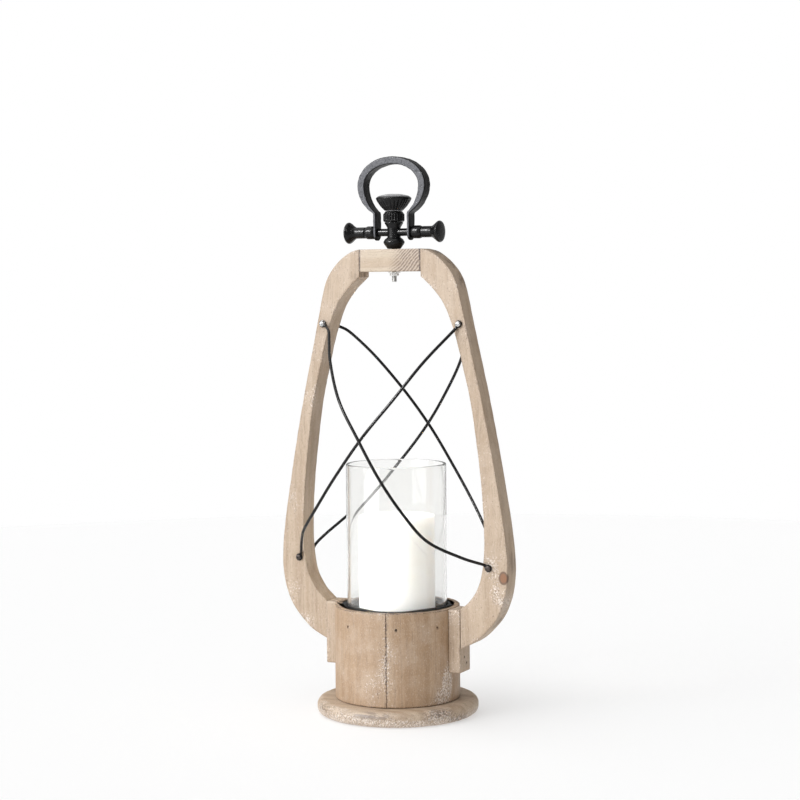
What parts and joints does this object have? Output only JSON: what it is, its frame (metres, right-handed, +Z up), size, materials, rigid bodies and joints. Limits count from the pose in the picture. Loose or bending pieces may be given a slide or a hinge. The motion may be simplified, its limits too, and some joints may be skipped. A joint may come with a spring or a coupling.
{
  "type": "hanging lantern",
  "caption": "Candle lantern with a bow-sawn wooden frame on a round drum, a glass chimney over a pillar candle, crossed guard wires and a swinging iron hanging ring.",
  "frame": {"origin": "middle of the foot's underside", "axes": "+Z up, X along the frame's width, the front faces -Y"},
  "size_m": [0.2496, 0.172, 0.5548],
  "materials": {
    "foot_wood": "worn whitewashed",
    "drum_wood": "brown stain with worn whitewash",
    "frame_wood": "pale stain with worn whitewash",
    "crossbar_wood": "pale stain, end grain showing",
    "inner_wood": "raw",
    "black_iron": "satin black, slightly pitted",
    "black_wire": "satin black",
    "black_sheet": "satin black",
    "zinc": "bright zinc",
    "dark_screw": "satin black",
    "nail_steel": "dull, browned",
    "clear_glass": "clear",
    "wax": "smooth white wax",
    "cotton": "braided cotton"
  },
  "bodies": {
    "frame": {"base_foot": "foot_wood", "drum_stave_1": "drum_wood", "drum_stave_2": "drum_wood", "drum_stave_3": "drum_wood", "drum_stave_4": "drum_wood", "side_block_left": "frame_wood", "side_block_right": "frame_wood", "arm_left": "frame_wood", "arm_right": "frame_wood", "crossbar": "crossbar_wood", "shelf_disc": "inner_wood", "crossbar_dowel_left": "inner_wood", "crossbar_dowel_right": "inner_wood", "cross_bolt": "black_iron", "collar_left": "black_iron", "collar_right": "black_iron", "end_knob_left": "black_iron", "end_knob_right": "black_iron", "finial_post": "black_iron", "finial_barrel": "black_iron", "finial_cup": "black_iron", "guard_wire_front_outer": "black_wire", "guard_wire_front_inner": "black_wire", "guard_wire_rear_outer": "black_wire", "guard_wire_rear_inner": "black_wire", "threaded_stud": "zinc", "stud_washer": "zinc", "stud_nut": "zinc", "wire_screw_front_upper_left": "zinc", "wire_screw_front_upper_right": "zinc", "wire_screw_rear_upper_left": "zinc", "wire_screw_rear_upper_right": "zinc", "foot_screw_1": "zinc", "foot_screw_2": "zinc", "foot_screw_3": "zinc", "foot_screw_4": "zinc", "arm_screw_left": "zinc", "arm_screw_right": "zinc", "wire_screw_front_lower_left": "dark_screw", "wire_screw_front_lower_right": "dark_screw", "wire_screw_rear_lower_left": "dark_screw", "wire_screw_rear_lower_right": "dark_screw", "drum_brad_1": "nail_steel", "drum_brad_2": "nail_steel", "drum_brad_3": "nail_steel", "drum_brad_4": "nail_steel", "drum_brad_5": "nail_steel", "drum_brad_6": "nail_steel", "drum_brad_7": "nail_steel", "drum_brad_8": "nail_steel", "block_nail_left_1": "nail_steel", "block_nail_left_2": "nail_steel", "block_nail_right_1": "nail_steel", "block_nail_right_2": "nail_steel"},
    "ring": {"hanging_ring": "black_iron"},
    "pan": {"candle_pan": "black_sheet"},
    "glass": {"glass_chimney": "clear_glass"},
    "candle": {"candle": "wax", "candle_wick": "cotton"}
  },
  "joints": [
    {"name": "ring_swing", "type": "hinge", "parent": "frame", "child": "ring", "pos_m": [0, 0, 0.48], "axis": [1, 0, 0], "range_deg": [-120, 120]},
    {"name": "pan_lift", "type": "slide", "parent": "frame", "child": "pan", "axis": [0, 0, 1], "range_m": [0, 0.07]},
    {"name": "glass_lift", "type": "slide", "parent": "pan", "child": "glass", "axis": [0, 0, 1], "range_m": [0, 0.08]},
    {"name": "candle_lift", "type": "slide", "parent": "pan", "child": "candle", "axis": [0, 0, 1], "range_m": [0, 0.08]}
  ]
}
